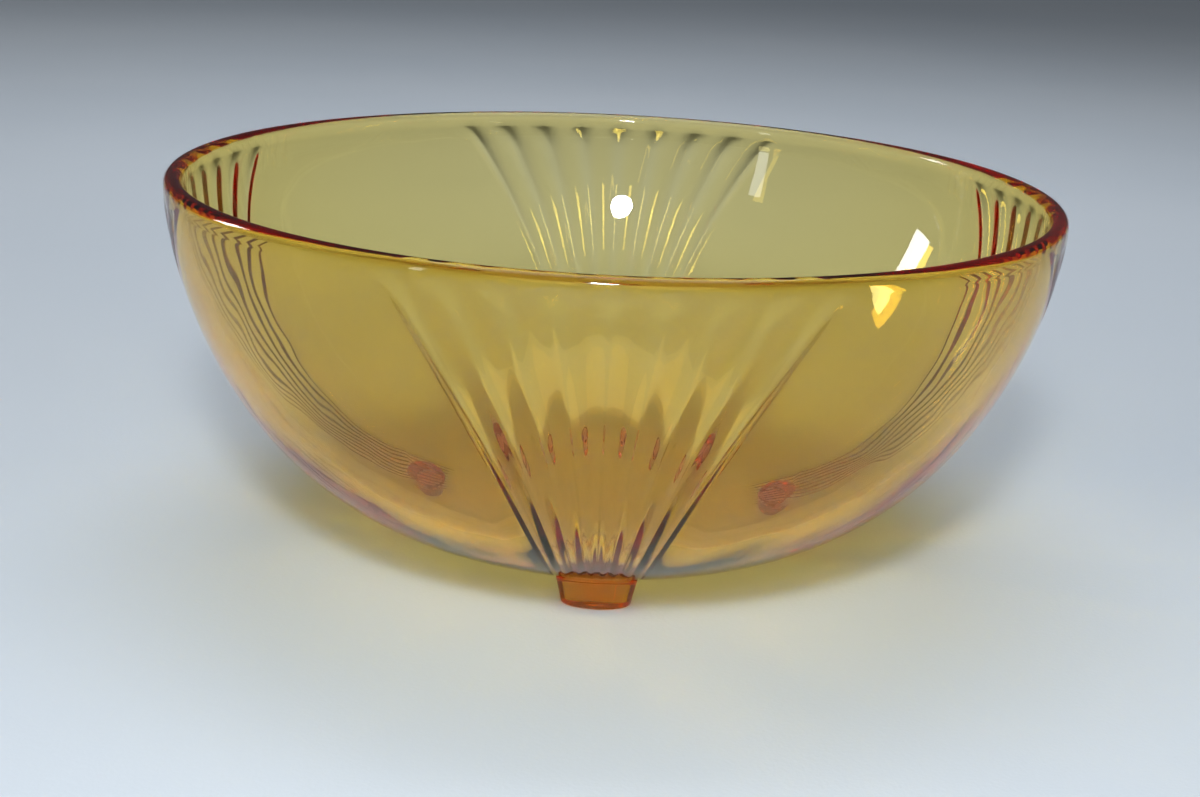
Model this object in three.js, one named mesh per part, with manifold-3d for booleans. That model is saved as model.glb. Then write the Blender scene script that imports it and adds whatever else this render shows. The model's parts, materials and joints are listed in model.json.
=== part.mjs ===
// Round pressed-glass bowl with four reeded fan panels, each fan ending in a small oval foot.
// Millimetres, +Z up. The origin is on the surface the bowl stands on, under its middle.
// One fan faces -Y (the front), and the others follow every quarter turn.

import * as THREE from 'three';
import { mergeVertices } from 'three/addons/utils/BufferGeometryUtils.js';
import Module from 'manifold-3d';

const wasm = await Module();
wasm.setup();

// Overall bowl
const RIM_RADIUS = 115;
const HEIGHT = 98.4;
const LIP_THICKNESS = 4.6;
const LIP_FLAT = 1;
const SHOULDER_DROP = 4.6;
const UNDERSIDE_HEIGHT = 2.5;
const FLOOR_THICKNESS = 5.5;

// Wall curve: (r / radius) ^ SIDE_POWER + (drop / depth) ^ BASE_POWER = 1
const SIDE_POWER = 3.1;
const BASE_POWER = 1.56;

// Reeded fans
const FAN_COUNT = 4;
const REEDS_PER_FAN = 8;
const FAN_HALF_WIDTH_AT_RIM = 48;
const FAN_HALF_WIDTH_AT_FOOT = 10;
const FAN_FLARE_POWER = 2.1;
const GROOVE_DEPTH = 0.8;
const GROOVE_DEPTH_RATIO = 0.14;
const GROOVE_EDGE_RATIO = 0.25;
const GROOVE_TOP_LENGTH = 7;

// Feet
const FOOT_RADIUS = 50;
const FOOT_TOP_HALF_WIDTH = 11.8;
const FOOT_TOP_HALF_DEPTH = 6.4;
const FOOT_BASE_SCALE = 0.73;
const FOOT_BLANK_HEIGHT = 14;
const JOINT_GAP = 0.3;

// Mesh fineness
const ROWS = 15;
const ROW_CROWDING = 1.2;
const SEGMENTS_PER_REED = 4;
const PLAIN_SEGMENTS = 6;
const LIP_STEPS = 3;
const TURNED_ROWS = 12;
const TURNED_SEGMENTS = 76;
const FOOT_SEGMENTS = 32;
const ARC_SAMPLES = 200;

const QUARTER = Math.PI / 2;
const SHOULDER_Z = HEIGHT - SHOULDER_DROP;
const LIP_ROUND = (LIP_THICKNESS - LIP_FLAT) / 2;
const FAN_EDGE = 1 + (2 * GROOVE_EDGE_RATIO) / REEDS_PER_FAN;
const OUTER = { radius: RIM_RADIUS, depth: SHOULDER_Z - UNDERSIDE_HEIGHT };
const INNER = {
  radius: RIM_RADIUS - LIP_THICKNESS,
  depth: SHOULDER_Z - UNDERSIDE_HEIGHT - FLOOR_THICKNESS,
};

// A point of a wall curve, with turn running from 0 at the shoulder to 1 on the axis.
function wallPoint(wall, turn) {
  const angle = turn * QUARTER;
  const r = turn === 1 ? 0 : wall.radius * Math.cos(angle) ** (2 / SIDE_POWER);
  const drop = wall.depth * Math.sin(angle) ** (2 / BASE_POWER);
  return { r, z: SHOULDER_Z - drop };
}

// The outward direction of the wall curve at that point, from the curve's gradient.
function wallNormal(wall, point) {
  const drop = SHOULDER_Z - point.z;
  const outward = (SIDE_POWER / wall.radius) * (point.r / wall.radius) ** (SIDE_POWER - 1);
  const downward = (BASE_POWER / wall.depth) * (drop / wall.depth) ** (BASE_POWER - 1);
  const length = Math.hypot(outward, downward);
  return { r: outward / length, z: -downward / length };
}

// How far down the wall a point is, as a fraction of the way from the shoulder to the foot.
const footArc = measureFootArc();
function measureFootArc() {
  const marks = [{ turn: 0, length: 0 }];
  let last = wallPoint(OUTER, 0);
  let length = 0;
  for (let i = 1; i <= ARC_SAMPLES && last.r > FOOT_RADIUS; i += 1) {
    const next = wallPoint(OUTER, i / ARC_SAMPLES);
    length += Math.hypot(next.r - last.r, next.z - last.z);
    marks.push({ turn: i / ARC_SAMPLES, length });
    last = next;
  }
  return { marks, length };
}

function wayToFoot(turn) {
  const mark = footArc.marks.find((entry) => entry.turn >= turn);
  return mark ? mark.length / footArc.length : 1;
}

// Half the width of a fan, which is flared at the rim and nearly straight at the foot.
function fanHalfWidth(turn) {
  const flare = (1 - wayToFoot(turn)) ** FAN_FLARE_POWER;
  return FAN_HALF_WIDTH_AT_FOOT + (FAN_HALF_WIDTH_AT_RIM - FAN_HALF_WIDTH_AT_FOOT) * flare;
}

function fanHalfAngle(turn) {
  const r = Math.max(wallPoint(OUTER, turn).r, FOOT_RADIUS);
  return Math.asin(fanHalfWidth(turn) / r);
}

// Depth of the grooves between the reeds: even, and less only where the reeds get narrow.
// The grooves run out below the lip and just past the foot.
function grooveDepth(turn) {
  const point = wallPoint(OUTER, turn);
  const reedWidth = (2 * fanHalfWidth(turn)) / REEDS_PER_FAN;
  const full = Math.min(GROOVE_DEPTH, GROOVE_DEPTH_RATIO * reedWidth);
  const belowTop = THREE.MathUtils.clamp((SHOULDER_Z - point.z) / GROOVE_TOP_LENGTH, 0, 1);
  const top = belowTop * (2 - belowTop);
  const foot = THREE.MathUtils.smoothstep(point.r, FOOT_RADIUS - FOOT_TOP_HALF_DEPTH, FOOT_RADIUS);
  return full * top * foot;
}

// Columns of the outer skin: across each fan, then across the plain wall up to the next fan.
// groove is 1 along the bottom of a groove, and 0 on a reed's crown and on the plain wall.
function skinColumns() {
  const columns = [];
  const fanSegments = REEDS_PER_FAN * SEGMENTS_PER_REED;
  for (let fan = 0; fan < FAN_COUNT; fan += 1) {
    columns.push({ fan, across: -FAN_EDGE, between: 0, groove: 0 });
    for (let i = 0; i <= fanSegments; i += 1) {
      const inReed = (2 * (i % SEGMENTS_PER_REED)) / SEGMENTS_PER_REED - 1;
      columns.push({ fan, across: (2 * i) / fanSegments - 1, between: 0, groove: inReed * inReed });
    }
    for (let i = 0; i < PLAIN_SEGMENTS; i += 1) {
      columns.push({ fan, across: FAN_EDGE, between: i / PLAIN_SEGMENTS, groove: 0 });
    }
  }
  return columns;
}

function columnAzimuth(column, halfAngle) {
  const middle = (column.fan * 2 * Math.PI) / FAN_COUNT;
  const plain = (2 * Math.PI) / FAN_COUNT - 2 * FAN_EDGE * halfAngle;
  return middle + column.across * halfAngle + column.between * plain;
}

// Azimuth 0 is the front, -Y, and it grows towards +X.
function polar(r, azimuth, z) {
  return [r * Math.sin(azimuth), -r * Math.cos(azimuth), z];
}

// One ring of the outer skin, sunk into the wall curve by the grooves.
function skinRing(columns, turn) {
  const point = wallPoint(OUTER, turn);
  const normal = wallNormal(OUTER, point);
  const halfAngle = fanHalfAngle(turn);
  const depth = grooveDepth(turn);
  return columns.map((column) => {
    const sunk = depth * column.groove;
    return polar(point.r - normal.r * sunk, columnAzimuth(column, halfAngle), point.z - normal.z * sunk);
  });
}

// The quarter round of the lip, from its side to its flat top. The side is at r = side.
function lipRound(side, inwards) {
  const points = [];
  for (let i = 0; i <= LIP_STEPS; i += 1) {
    const angle = (i / LIP_STEPS) * QUARTER;
    const r = side + inwards * LIP_ROUND * (1 - Math.cos(angle));
    points.push(new THREE.Vector2(r, HEIGHT - LIP_ROUND + LIP_ROUND * Math.sin(angle)));
  }
  return points;
}

// A closed solid from stacked rings, capped by a point on the axis at each end.
function solidFromRings(rings, bottomZ, topZ) {
  const count = rings[0].length;
  const positions = [...rings.flat(), [0, 0, bottomZ], [0, 0, topZ]];
  const bottom = positions.length - 2;
  const top = positions.length - 1;
  const faces = [];
  for (let column = 0; column < count; column += 1) {
    const next = (column + 1) % count;
    faces.push([bottom, next, column]);
    for (let row = 0; row + 1 < rings.length; row += 1) {
      const a = row * count + column;
      const b = row * count + next;
      faces.push([a, b, b + count], [a, b + count, a + count]);
    }
    const last = (rings.length - 1) * count;
    faces.push([last + column, last + next, top]);
  }
  return manifoldFrom(new Float32Array(positions.flat()), new Uint32Array(faces.flat()));
}

function manifoldFrom(vertProperties, triVerts) {
  return new wasm.Manifold(new wasm.Mesh({ numProp: 3, vertProperties, triVerts }));
}

function manifoldFromGeometry(geometry) {
  geometry.deleteAttribute('normal');
  geometry.deleteAttribute('uv');
  const merged = mergeVertices(geometry);
  return manifoldFrom(merged.getAttribute('position').array, Uint32Array.from(merged.index.array));
}

function geometryFromManifold(solid) {
  const mesh = solid.getMesh();
  const geometry = new THREE.BufferGeometry();
  geometry.setAttribute('position', new THREE.BufferAttribute(mesh.vertProperties, mesh.numProp));
  geometry.setIndex(new THREE.BufferAttribute(mesh.triVerts, 1));
  geometry.computeVertexNormals();
  return geometry;
}

// The bowl as a solid lump: reeded fans, plain panels between them, and the lip's outer half.
function outerLump() {
  const columns = skinColumns();
  const rings = [];
  for (let row = 1; row <= ROWS; row += 1) {
    rings.push(skinRing(columns, (1 - row / ROWS) ** ROW_CROWDING));
  }
  const halfAngle = fanHalfAngle(0);
  for (const point of lipRound(RIM_RADIUS, -1)) {
    rings.push(columns.map((column) => polar(point.x, columnAzimuth(column, halfAngle), point.y)));
  }
  return solidFromRings(rings, UNDERSIDE_HEIGHT, HEIGHT);
}

// A solid turned about the Z axis from an outline of Vector2(r, z).
function turnedSolid(points) {
  const geometry = new THREE.LatheGeometry(points, TURNED_SEGMENTS);
  geometry.rotateX(QUARTER);
  return manifoldFromGeometry(geometry);
}

// The plain wall curve from the axis up to the shoulder, moved outwards by an allowance.
function wallOutline(wall, allowance) {
  const points = [];
  for (let row = 0; row <= TURNED_ROWS; row += 1) {
    const point = wallPoint(wall, 1 - row / TURNED_ROWS);
    const normal = wallNormal(wall, point);
    points.push(new THREE.Vector2(point.r + normal.r * allowance, point.z + normal.z * allowance));
  }
  return points;
}

// The smooth inside, which runs up through the lip's inner half and out past the rim.
function cavity() {
  const points = [...wallOutline(INNER, 0), ...lipRound(INNER.radius, 1)];
  points.push(new THREE.Vector2(points.at(-1).x, HEIGHT + LIP_THICKNESS));
  points.push(new THREE.Vector2(0, HEIGHT + LIP_THICKNESS));
  return turnedSolid(points);
}

// What a foot is cut back from: the wall, grown by the joint's gap.
function footClearance() {
  const points = wallOutline(OUTER, JOINT_GAP);
  points.push(new THREE.Vector2(0, SHOULDER_Z));
  return turnedSolid(points);
}

// A foot stands under a fan's narrow end. It is oval, tapers downwards, and its top follows the bowl.
function footGeometry() {
  const blank = new THREE.CylinderGeometry(1, FOOT_BASE_SCALE, FOOT_BLANK_HEIGHT, FOOT_SEGMENTS);
  blank.rotateX(QUARTER);
  blank.scale(FOOT_TOP_HALF_WIDTH, FOOT_TOP_HALF_DEPTH, 1);
  blank.translate(0, -FOOT_RADIUS, FOOT_BLANK_HEIGHT / 2);
  return geometryFromManifold(manifoldFromGeometry(blank).subtract(footClearance()));
}

function glassMaterial(color) {
  return new THREE.MeshStandardMaterial({ color, roughness: 0.08, metalness: 0 });
}

function namedMesh(name, geometry, color) {
  const mesh = new THREE.Mesh(geometry, glassMaterial(color));
  mesh.name = name;
  return mesh;
}

const group = new THREE.Group();
group.add(namedMesh('bowl_body', geometryFromManifold(outerLump().subtract(cavity())), 0xc79a3a));

const foot = footGeometry();
['foot_front', 'foot_right', 'foot_back', 'foot_left'].forEach((name, index) => {
  const mesh = namedMesh(name, foot.clone(), 0xb9741c);
  mesh.rotation.z = index * QUARTER;
  group.add(mesh);
});

export default group;
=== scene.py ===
"""Amber pressed-glass bowl with four reeded fans and four small oval feet. Metres, +Z up."""
import json
import math

import bpy
import numpy as np
from mathutils import Matrix, Vector


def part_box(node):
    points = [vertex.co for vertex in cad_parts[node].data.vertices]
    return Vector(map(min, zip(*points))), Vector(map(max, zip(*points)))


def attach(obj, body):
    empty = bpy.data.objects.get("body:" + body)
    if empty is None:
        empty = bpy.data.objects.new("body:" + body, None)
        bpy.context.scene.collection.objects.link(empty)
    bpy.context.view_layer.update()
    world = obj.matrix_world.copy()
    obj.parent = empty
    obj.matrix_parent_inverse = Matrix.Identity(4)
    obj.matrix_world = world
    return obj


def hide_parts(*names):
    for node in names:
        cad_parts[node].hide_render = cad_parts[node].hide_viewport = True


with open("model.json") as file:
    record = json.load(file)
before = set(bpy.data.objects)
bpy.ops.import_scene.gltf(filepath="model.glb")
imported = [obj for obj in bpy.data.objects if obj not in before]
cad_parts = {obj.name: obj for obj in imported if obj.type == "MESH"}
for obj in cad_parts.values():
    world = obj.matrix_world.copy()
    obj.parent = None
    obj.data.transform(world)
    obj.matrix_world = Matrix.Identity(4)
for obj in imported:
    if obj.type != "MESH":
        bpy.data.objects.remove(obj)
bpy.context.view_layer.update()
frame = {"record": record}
body_low, body_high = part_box("bowl_body")
mounts = {mount["name"]: mount for mount in frame["record"]["mounts"]}

# Overall bowl
RIM_RADIUS = (body_high[0] - body_low[0]) / 2
HEIGHT = body_high[2]
UNDERSIDE_HEIGHT = body_low[2]
LIP_THICKNESS = 0.0046
SHOULDER_DROP = 0.0046
FLOOR_THICKNESS = 0.0055

# Wall curve: (r / radius) ^ SIDE_POWER + (drop / depth) ^ BASE_POWER = 1
SIDE_POWER = 3.1
BASE_POWER = 1.56

# Reeded fans
FAN_COUNT = 4
REEDS_PER_FAN = 8
FAN_HALF_WIDTH_AT_RIM = 0.048
FAN_HALF_WIDTH_AT_FOOT = 0.010
FAN_FLARE_POWER = 2.1
GROOVE_DEPTH = 0.0008
GROOVE_DEPTH_RATIO = 0.14
GROOVE_EDGE_RATIO = 0.25
GROOVE_TOP_LENGTH = 0.007
VALLEY_ROUNDING = 0.11

# Feet
FOOT_RADIUS = -mounts["rest_foot_front"]["pos_m"][1]
FOOT_TOP_HALF_WIDTH = 0.0118
FOOT_TOP_HALF_DEPTH = 0.0064
FOOT_BASE_SCALE = 0.73
FOOT_BLANK_HEIGHT = 0.014
FOOT_EDGE_RADIUS = 0.0009
JOINT_GAP = 0.0003

# What a metre of glass takes from red, green and blue
BODY_ABSORBED = (4, 41, 240)
FOOT_ABSORBED = (12, 105, 520)
GLASS_IOR = 1.5

# Floor and camera
FLOOR_HALF_SIZE = 7.0
FLOOR_DROP = 0.0001
LENS_MM = 57
CAMERA_DISTANCE = 4.323 * RIM_RADIUS
CAMERA_RISE = math.radians(10.37)
CAMERA_DROP_AIM = math.radians(6.395)
CAMERA_SIDE_AIM = math.radians(0.176)
CAMERA_ROLL = math.radians(2.875)

# Mesh fineness
OUTER_ROWS = 88
OUTER_ROW_CROWDING = 1.45
INNER_ROWS = 50
LIP_STEPS = 7
SEGMENTS_PER_REED = 12
EDGE_SEGMENTS = 3
PLAIN_SEGMENTS = 16
ARC_SAMPLES = 400
FOOT_AROUND = 72
FOOT_SIDE_ROWS = 10
FOOT_EDGE_STEPS = 5
FOOT_TOP_RINGS = 8
FOOT_BASE_RINGS = (0.35, 0.7)

QUARTER = math.pi / 2
SHOULDER_Z = HEIGHT - SHOULDER_DROP
LIP_ROUND = LIP_THICKNESS / 2
FAN_EDGE = 1 + 2 * GROOVE_EDGE_RATIO / REEDS_PER_FAN
OUTER = (RIM_RADIUS, SHOULDER_Z - UNDERSIDE_HEIGHT)
INNER = (RIM_RADIUS - LIP_THICKNESS, SHOULDER_Z - UNDERSIDE_HEIGHT - FLOOR_THICKNESS)
LOWER_WALL_TURNS = (0.3, 0.995)


# ---- Shape of the wall ----

def wall_point(wall, turn):
    """r and z of a wall curve, with turn from 0 at the shoulder to 1 on the axis."""
    radius, depth = wall
    angle = turn * QUARTER
    r = radius * max(math.cos(angle), 0) ** (2 / SIDE_POWER) if turn < 1 else 0.0
    return r, SHOULDER_Z - depth * math.sin(angle) ** (2 / BASE_POWER)


def wall_normal(wall, r, z):
    """The outward direction of the wall curve, as r and z."""
    radius, depth = wall
    outward = SIDE_POWER / radius * (r / radius) ** (SIDE_POWER - 1)
    downward = BASE_POWER / depth * (max(SHOULDER_Z - z, 0) / depth) ** (BASE_POWER - 1)
    length = math.hypot(outward, downward)
    return outward / length, -downward / length


def measure_way():
    """Turns, and how far each is along the wall from the shoulder to the foot, from 0 to 1."""
    turns = np.linspace(0, 1, ARC_SAMPLES)
    points = np.array([wall_point(OUTER, turn) for turn in turns])
    way = np.concatenate([[0], np.cumsum(np.hypot(*np.diff(points, axis=0).T))])
    at_foot = np.interp(-FOOT_RADIUS, -points[:, 0], way)
    return turns, np.minimum(way / at_foot, 1)


WAY_TURNS, WAY = measure_way()


def smoothstep(value, low, high):
    share = min(max((value - low) / (high - low), 0), 1)
    return share * share * (3 - 2 * share)


def fan_half_width(turn):
    flare = (1 - np.interp(turn, WAY_TURNS, WAY)) ** FAN_FLARE_POWER
    return FAN_HALF_WIDTH_AT_FOOT + (FAN_HALF_WIDTH_AT_RIM - FAN_HALF_WIDTH_AT_FOOT) * flare


def fan_half_angle(turn):
    return math.asin(fan_half_width(turn) / max(wall_point(OUTER, turn)[0], FOOT_RADIUS))


def groove_depth(turn):
    """Depth of the grooves between the reeds. They run out below the lip and past the foot."""
    r, z = wall_point(OUTER, turn)
    full = min(GROOVE_DEPTH, GROOVE_DEPTH_RATIO * 2 * fan_half_width(turn) / REEDS_PER_FAN)
    below_top = min(max((SHOULDER_Z - z) / GROOVE_TOP_LENGTH, 0), 1)
    top = below_top * (2 - below_top)
    return full * top * smoothstep(r, FOOT_RADIUS - FOOT_TOP_HALF_DEPTH, FOOT_RADIUS)


def reed_profile(across):
    """Depth across a reed as a share, 0 on its crown and 1 in its rounded valleys at -1 and 1."""
    def rounded(to_valley):
        return math.hypot(to_valley, VALLEY_ROUNDING) - VALLEY_ROUNDING

    crown, here = rounded(1), rounded(1 - abs(across))
    return 1 - (2 * here - here * here) / (2 * crown - crown * crown)


def skin_columns():
    """Columns round the outer skin: which fan, how far across it, how far past it, and groove."""
    columns = []
    for fan in range(FAN_COUNT):
        for i in range(EDGE_SEGMENTS):
            share = i / EDGE_SEGMENTS
            columns.append((fan, -FAN_EDGE + (FAN_EDGE - 1) * share, 0, share * share))
        for i in range(REEDS_PER_FAN * SEGMENTS_PER_REED + 1):
            across = 2 * i / (REEDS_PER_FAN * SEGMENTS_PER_REED) - 1
            in_reed = 2 * (i % SEGMENTS_PER_REED) / SEGMENTS_PER_REED - 1
            columns.append((fan, across, 0, reed_profile(in_reed)))
        for i in range(EDGE_SEGMENTS):
            share = 1 - (i + 1) / EDGE_SEGMENTS
            columns.append((fan, FAN_EDGE - (FAN_EDGE - 1) * share, 0, share * share))
        for i in range(1, PLAIN_SEGMENTS):
            columns.append((fan, FAN_EDGE, i / PLAIN_SEGMENTS, 0))
    return np.array(columns, float)


def azimuths(columns, half_angle):
    """Azimuth 0 is the front, -Y, and it grows towards +X."""
    plain = 2 * math.pi / FAN_COUNT - 2 * FAN_EDGE * half_angle
    return columns[:, 0] * 2 * math.pi / FAN_COUNT + columns[:, 1] * half_angle + columns[:, 2] * plain


def ring(r, turns, z):
    """Points at radius r and height z, each a number or one value per azimuth."""
    r, z = np.broadcast_to(r, turns.shape), np.broadcast_to(z, turns.shape)
    return np.stack([r * np.sin(turns), -r * np.cos(turns), z], 1)


def outer_rings(columns):
    rings = []
    for row in range(1, OUTER_ROWS + 1):
        turn = (1 - row / OUTER_ROWS) ** OUTER_ROW_CROWDING
        r, z = wall_point(OUTER, turn)
        normal_r, normal_z = wall_normal(OUTER, r, z)
        sunk = groove_depth(turn) * columns[:, 3]
        around = azimuths(columns, fan_half_angle(turn))
        rings.append(ring(r - normal_r * sunk, around, z - normal_z * sunk))
    return rings


def lip_rings(around):
    """The half round of the lip, from its outer side over the top to its inner side."""
    middle_r, middle_z = RIM_RADIUS - LIP_THICKNESS / 2, HEIGHT - LIP_ROUND
    angles = [i / (2 * LIP_STEPS) * math.pi for i in range(2 * LIP_STEPS + 1)]
    return [
        ring(middle_r + LIP_ROUND * math.cos(a), around, middle_z + LIP_ROUND * math.sin(a))
        for a in angles
    ]


def inner_rings(around):
    rings = []
    for row in range(INNER_ROWS):
        r, z = wall_point(INNER, (row / INNER_ROWS) ** OUTER_ROW_CROWDING)
        rings.append(ring(r, around, z))
    return rings


# ---- Meshes ----

def closed_mesh(name, rings, first_pole, last_pole):
    """A closed mesh from stacked rings of points, with a pole at each end."""
    count = len(rings[0])
    points = np.concatenate([*rings, [first_pole], [last_pole]])
    low, high = len(points) - 2, len(points) - 1
    here = np.arange(count)
    after = (here + 1) % count
    faces = [(low, b, a) for a, b in zip(here.tolist(), after.tolist())]
    for row in range(len(rings) - 1):
        a, b = row * count + here, row * count + after
        faces += np.stack([a, b, b + count, a + count], 1).tolist()
    last = (len(rings) - 1) * count
    faces += [(last + a, last + b, high) for a, b in zip(here.tolist(), after.tolist())]
    mesh = bpy.data.meshes.new(name)
    mesh.from_pydata(points.tolist(), [], faces)
    mesh.polygons.foreach_set("use_smooth", [True] * len(mesh.polygons))
    mesh.update()
    return mesh


def add_piece(name, mesh, material, slot, *nodes):
    piece = bpy.data.objects.new(name, mesh)
    bpy.context.collection.objects.link(piece)
    mesh.materials.append(material)
    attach(piece, "root")
    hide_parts(*nodes)
    return piece


def body_mesh():
    columns = skin_columns()
    around = azimuths(columns, fan_half_angle(0))
    rings = outer_rings(columns) + lip_rings(around) + inner_rings(around)
    floor_z = wall_point(INNER, 1)[1]
    return closed_mesh("bowl_body", rings, (0, 0, UNDERSIDE_HEIGHT), (0, 0, floor_z))


def wall_height(r, allowance):
    """Height of the outer wall, moved outwards by an allowance, at radius r."""
    turns = np.linspace(*LOWER_WALL_TURNS, ARC_SAMPLES)
    points = np.array([wall_point(OUTER, turn) for turn in turns])
    normals = np.array([wall_normal(OUTER, *point) for point in points])
    moved = points + normals * allowance
    return np.interp(r, moved[::-1, 0], moved[::-1, 1])


def foot_mesh(middle):
    """A tapered oval foot round the azimuth middle, with a rounded base edge."""
    around = -np.arange(FOOT_AROUND) / FOOT_AROUND * 2 * math.pi
    tangent = np.array([math.cos(middle), math.sin(middle)])
    radial = np.array([math.sin(middle), -math.cos(middle)])

    def oval(scale, inset, z):
        half_width = FOOT_TOP_HALF_WIDTH * scale - inset
        half_depth = FOOT_TOP_HALF_DEPTH * scale - inset
        flat = radial * FOOT_RADIUS + np.outer(np.cos(around) * half_width, tangent)
        flat = flat + np.outer(np.sin(around) * half_depth, radial)
        return np.column_stack([flat, np.broadcast_to(z, around.shape)])

    def scale_at(z):
        return FOOT_BASE_SCALE + (1 - FOOT_BASE_SCALE) * z / FOOT_BLANK_HEIGHT

    rings = [oval(FOOT_BASE_SCALE * share, 0, 0) for share in FOOT_BASE_RINGS]
    for i in range(FOOT_EDGE_STEPS + 1):
        angle = i / FOOT_EDGE_STEPS * QUARTER
        z = FOOT_EDGE_RADIUS * (1 - math.cos(angle))
        rings.append(oval(scale_at(z), FOOT_EDGE_RADIUS * (1 - math.sin(angle)), z))
    edge = oval(scale_at(FOOT_BLANK_HEIGHT / 2), 0, 0)
    top = wall_height(np.hypot(edge[:, 0], edge[:, 1]), JOINT_GAP)
    for i in range(1, FOOT_SIDE_ROWS + 1):
        z = FOOT_EDGE_RADIUS + (top - FOOT_EDGE_RADIUS) * i / FOOT_SIDE_ROWS
        flat = oval(1, 0, 0)[:, :2] - radial * FOOT_RADIUS
        side = radial * FOOT_RADIUS + flat * scale_at(z)[:, None]
        rings.append(np.column_stack([side, z]))
    rim = rings[-1]
    centre = radial * FOOT_RADIUS
    for i in range(1, FOOT_TOP_RINGS):
        flat = centre + (rim[:, :2] - centre) * (1 - i / FOOT_TOP_RINGS)
        height = wall_height(np.hypot(flat[:, 0], flat[:, 1]), JOINT_GAP)
        rings.append(np.column_stack([flat, height]))
    crown = wall_height(FOOT_RADIUS, JOINT_GAP)
    return closed_mesh("foot", rings, (*centre, 0), (*centre, float(crown)))


# ---- Materials ----

def new_material(name):
    material = bpy.data.materials.new(name)
    material.use_nodes = True
    return material, material.node_tree, material.node_tree.nodes["Principled BSDF"]


def noise(tree, scale, detail, roughness=0.5, stretch=(1, 1, 1)):
    """Noise in the object's own coordinates."""
    place = tree.nodes.new("ShaderNodeTexCoord")
    mapping = tree.nodes.new("ShaderNodeMapping")
    mapping.inputs["Scale"].default_value = stretch
    texture = tree.nodes.new("ShaderNodeTexNoise")
    texture.inputs["Scale"].default_value = scale
    texture.inputs["Detail"].default_value = detail
    texture.inputs["Roughness"].default_value = roughness
    tree.links.new(place.outputs["Object"], mapping.inputs["Vector"])
    tree.links.new(mapping.outputs["Vector"], texture.inputs["Vector"])
    return texture.outputs["Fac"]


def spread(tree, value, low, high, new_low, new_high):
    """value, with low to high spread over new_low to new_high."""
    node = tree.nodes.new("ShaderNodeMapRange")
    node.inputs["From Min"].default_value = low
    node.inputs["From Max"].default_value = high
    node.inputs["To Min"].default_value = new_low
    node.inputs["To Max"].default_value = new_high
    tree.links.new(value, node.inputs["Value"])
    return node.outputs["Result"]


def blend_colours(tree, factor, first, second):
    node = tree.nodes.new("ShaderNodeMix")
    node.data_type = "RGBA"
    node.inputs["A"].default_value = (*first, 1)
    node.inputs["B"].default_value = (*second, 1)
    tree.links.new(factor, node.inputs["Factor"])
    return node.outputs["Result"]


def bump(tree, height, strength, distance):
    node = tree.nodes.new("ShaderNodeBump")
    node.inputs["Strength"].default_value = strength
    node.inputs["Distance"].default_value = distance
    tree.links.new(height, node.inputs["Height"])
    return node.outputs["Normal"]


CLEAR_TINT = (1.0, 0.99, 0.96)
STREAK_TINT = (0.985, 0.975, 0.945)
CLOTH_SHADED = (0.62, 0.67, 0.73)
CLOTH_LIGHT = (0.68, 0.72, 0.77)


def amber_glass(name, absorbed, roughness):
    """Clear amber glass with faint streaks, smears and mould ripple, coloured by what it absorbs."""
    material, tree, shader = new_material(name)
    shader.inputs["Transmission Weight"].default_value = 1
    shader.inputs["IOR"].default_value = GLASS_IOR
    streaks = noise(tree, 14, 3, 0.6, (1, 1, 2.5))
    streaks = spread(tree, streaks, 0.35, 0.65, 0, 1)
    colour = blend_colours(tree, streaks, CLEAR_TINT, STREAK_TINT)
    tree.links.new(colour, shader.inputs["Base Color"])
    smears = noise(tree, 38, 4, 0.55)
    tree.links.new(spread(tree, smears, 0.3, 0.75, *roughness), shader.inputs["Roughness"])
    ripple = bump(tree, noise(tree, 26, 2), 0.4, 0.0007)
    tree.links.new(ripple, shader.inputs["Normal"])
    inside = tree.nodes.new("ShaderNodeVolumeAbsorption")
    # The density is more than every colour's share, so that the shader's colour stays above 0
    density = 1.25 * max(absorbed)
    inside.inputs["Color"].default_value = (*[1 - value / density for value in absorbed], 1)
    inside.inputs["Density"].default_value = density
    output = tree.nodes["Material Output"]
    tree.links.new(inside.outputs["Volume"], output.inputs["Volume"])
    return material


def floor_cloth():
    """Plain pale cloth."""
    material, tree, shader = new_material("floor_cloth")
    shader.inputs["Roughness"].default_value = 0.85
    patches = spread(tree, noise(tree, 2.2, 3), 0.3, 0.7, 0, 1)
    colour = blend_colours(tree, patches, CLOTH_SHADED, CLOTH_LIGHT)
    tree.links.new(colour, shader.inputs["Base Color"])
    weave = bump(tree, noise(tree, 900, 2), 0.15, 0.0005)
    tree.links.new(weave, shader.inputs["Normal"])
    return material


# ---- Pieces ----

body_glass = amber_glass("amber_glass", BODY_ABSORBED, (0.0, 0.03))
foot_glass = amber_glass("foot_glass", FOOT_ABSORBED, (0.01, 0.06))

add_piece("bowl", body_mesh(), body_glass, "amber_glass", "bowl_body")
for index, node in enumerate(("foot_front", "foot_right", "foot_back", "foot_left")):
    middle = index * 2 * math.pi / FAN_COUNT
    add_piece(f"{node}_pad", foot_mesh(middle), foot_glass, "foot_glass", node)


# ---- Floor, lights and camera ----

def add_floor():
    corners = [(-1, -1), (1, -1), (1, 1), (-1, 1)]
    points = [(x * FLOOR_HALF_SIZE, y * FLOOR_HALF_SIZE, -FLOOR_DROP) for x, y in corners]
    mesh = bpy.data.meshes.new("floor")
    mesh.from_pydata(points, [], [(0, 1, 2, 3)])
    mesh.materials.append(floor_cloth())
    floor = bpy.data.objects.new("floor", mesh)
    bpy.context.collection.objects.link(floor)


COOL_WHITE = (0.90, 0.95, 1.0)
SKY_WHITE = (0.92, 0.97, 1.0)
BOWL_MIDDLE = Vector((0, 0, HEIGHT / 2))


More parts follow.
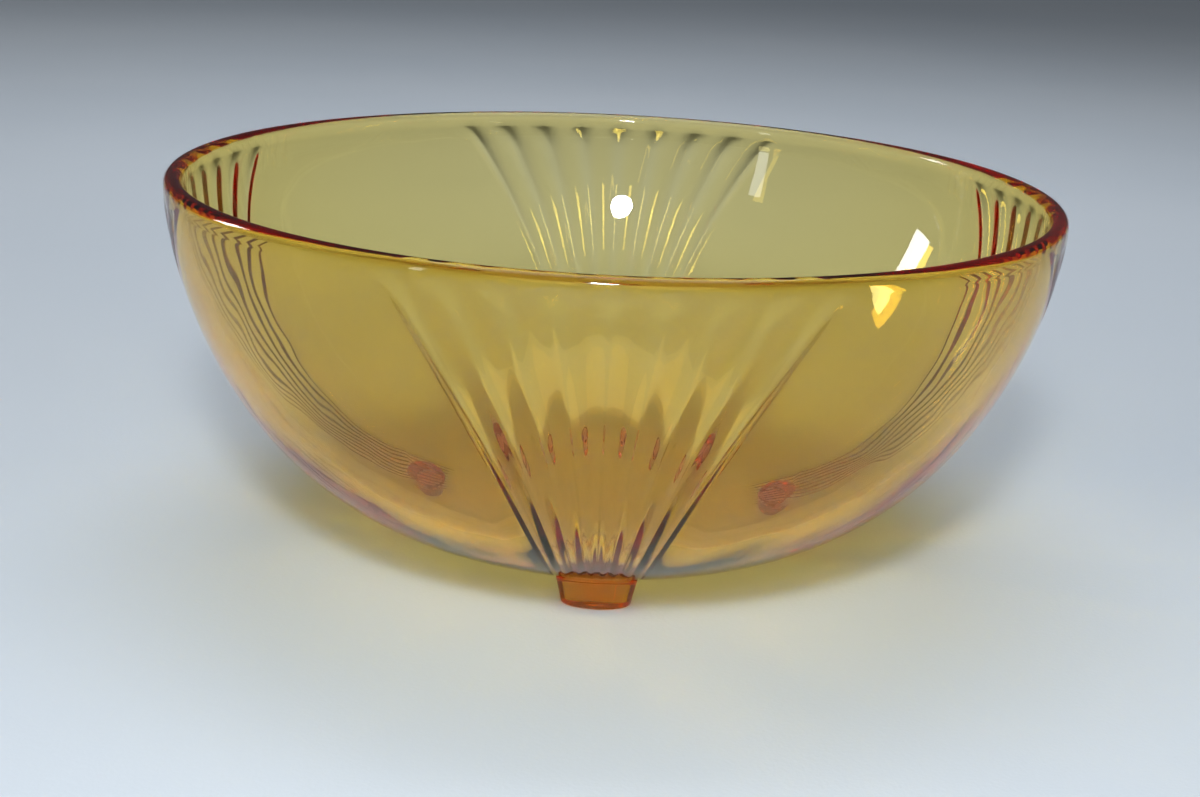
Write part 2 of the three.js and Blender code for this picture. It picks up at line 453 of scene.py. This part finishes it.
def lamp(name, azimuth, elevation, distance, size, watts, colour, **seen):
    """A soft lamp that faces the bowl. Azimuth 0 is the camera's side, and it grows to the right.

    seen turns off what a lamp does: mirrored is its picture in the glass, through_glass is its
    light through the glass, and on_floor is its light straight onto the floor.
    """
    turn, rise = math.radians(azimuth), math.radians(elevation)
    flat = math.cos(rise)
    way = Vector((math.sin(turn) * flat, -math.cos(turn) * flat, math.sin(rise)))
    data = bpy.data.lights.new(name, "AREA")
    data.shape = "RECTANGLE"
    data.size, data.size_y = size
    data.energy = watts
    data.color = colour
    light = bpy.data.objects.new(name, data)
    light.location = BOWL_MIDDLE + way * distance
    light.rotation_mode = "QUATERNION"
    light.rotation_quaternion = way.to_track_quat("Z", "Y")
    light.visible_glossy = seen.get("mirrored", True)
    light.visible_transmission = seen.get("through_glass", True)
    light.visible_diffuse = seen.get("on_floor", True)
    bpy.context.collection.objects.link(light)
    return light


def add_lamps():
    # The big soft light above: one lamp for the glass and one for the floor
    lamp("overhead_glow", 180, 80, 1.6, (1.2, 1.2), 7.2, COOL_WHITE, on_floor=False)
    lamp("overhead_softbox", 180, 80, 1.7, (1.2, 1.2), 5.5, COOL_WHITE, mirrored=False, through_glass=False)
    # The light above the camera, with its small bright middle nearer than the softbox
    lamp("front_softbox", -2, 33, 0.80, (0.26, 0.26), 3.0, (0.90, 0.96, 1.0), mirrored=False)
    glint = lamp("front_glint", -2, 33, 0.70, (0.075, 0.085), 1.9, SKY_WHITE)
    glint.data.shape = "ELLIPSE"
    # Two windows that show on the right and back walls
    lamp("left_window", -108, 20, 1.7, (0.20, 0.48), 5, (0.95, 0.98, 1.0), on_floor=False)
    lamp("side_window", -45, 10, 1.7, (0.10, 0.62), 1.1, SKY_WHITE, on_floor=False)
    # A lamp that points straight down on the floor behind the bowl
    downwards = lamp(
        "far_softbox", 180, 71, 1.55, (1.2, 0.5), 1.9, (0.92, 0.96, 1.0),
        mirrored=False, through_glass=False,
    )
    downwards.rotation_quaternion = (1, 0, 0, 0)
    downwards.data.spread = math.radians(75)


def add_room():
    """A dim room that is brighter on the camera's side than behind the bowl."""
    world = bpy.data.worlds.new("soft_room")
    world.use_nodes = True
    tree = world.node_tree
    background = tree.nodes["Background"]
    background.inputs["Color"].default_value = (0.88, 0.94, 1.0, 1)
    looking = tree.nodes.new("ShaderNodeTexCoord")
    towards_front = tree.nodes.new("ShaderNodeVectorMath")
    towards_front.operation = "DOT_PRODUCT"
    towards_front.inputs[1].default_value = (0, -0.9, 0.3)
    tree.links.new(looking.outputs["Generated"], towards_front.inputs[0])
    strength = spread(tree, towards_front.outputs["Value"], -1, 1, 0.06, 0.17)
    tree.links.new(strength, background.inputs["Strength"])
    bpy.context.scene.world = world


def add_camera():
    data = bpy.data.cameras.new("camera")
    data.lens = LENS_MM
    data.clip_start = 0.01
    camera = bpy.data.objects.new("camera", data)
    rim_middle = Vector((0, 0, HEIGHT - LIP_THICKNESS / 2))
    way = Vector((0, -math.cos(CAMERA_RISE), math.sin(CAMERA_RISE)))
    camera.matrix_world = (
        Matrix.Translation(rim_middle + CAMERA_DISTANCE * way)
        @ Matrix.Rotation(QUARTER - CAMERA_RISE, 4, "X")
        @ Matrix.Rotation(CAMERA_SIDE_AIM, 4, "Y")
        @ Matrix.Rotation(-CAMERA_DROP_AIM, 4, "X")
        @ Matrix.Rotation(CAMERA_ROLL, 4, "Z")
    )
    bpy.context.collection.objects.link(camera)
    bpy.context.scene.camera = camera


def light_paths():
    """Many bounces, because light goes a long way round inside the glass wall."""
    scene = bpy.context.scene
    scene.view_settings.view_transform = "Standard"
    scene.cycles.max_bounces = 48
    scene.cycles.transmission_bounces = 48
    scene.cycles.glossy_bounces = 24
    scene.cycles.caustics_refractive = True
    scene.cycles.caustics_reflective = True
    scene.cycles.blur_glossy = 0.0
    scene.cycles.sample_clamp_indirect = 16
    scene.cycles.use_denoising = True


add_floor()
add_lamps()
add_room()
add_camera()
light_paths()
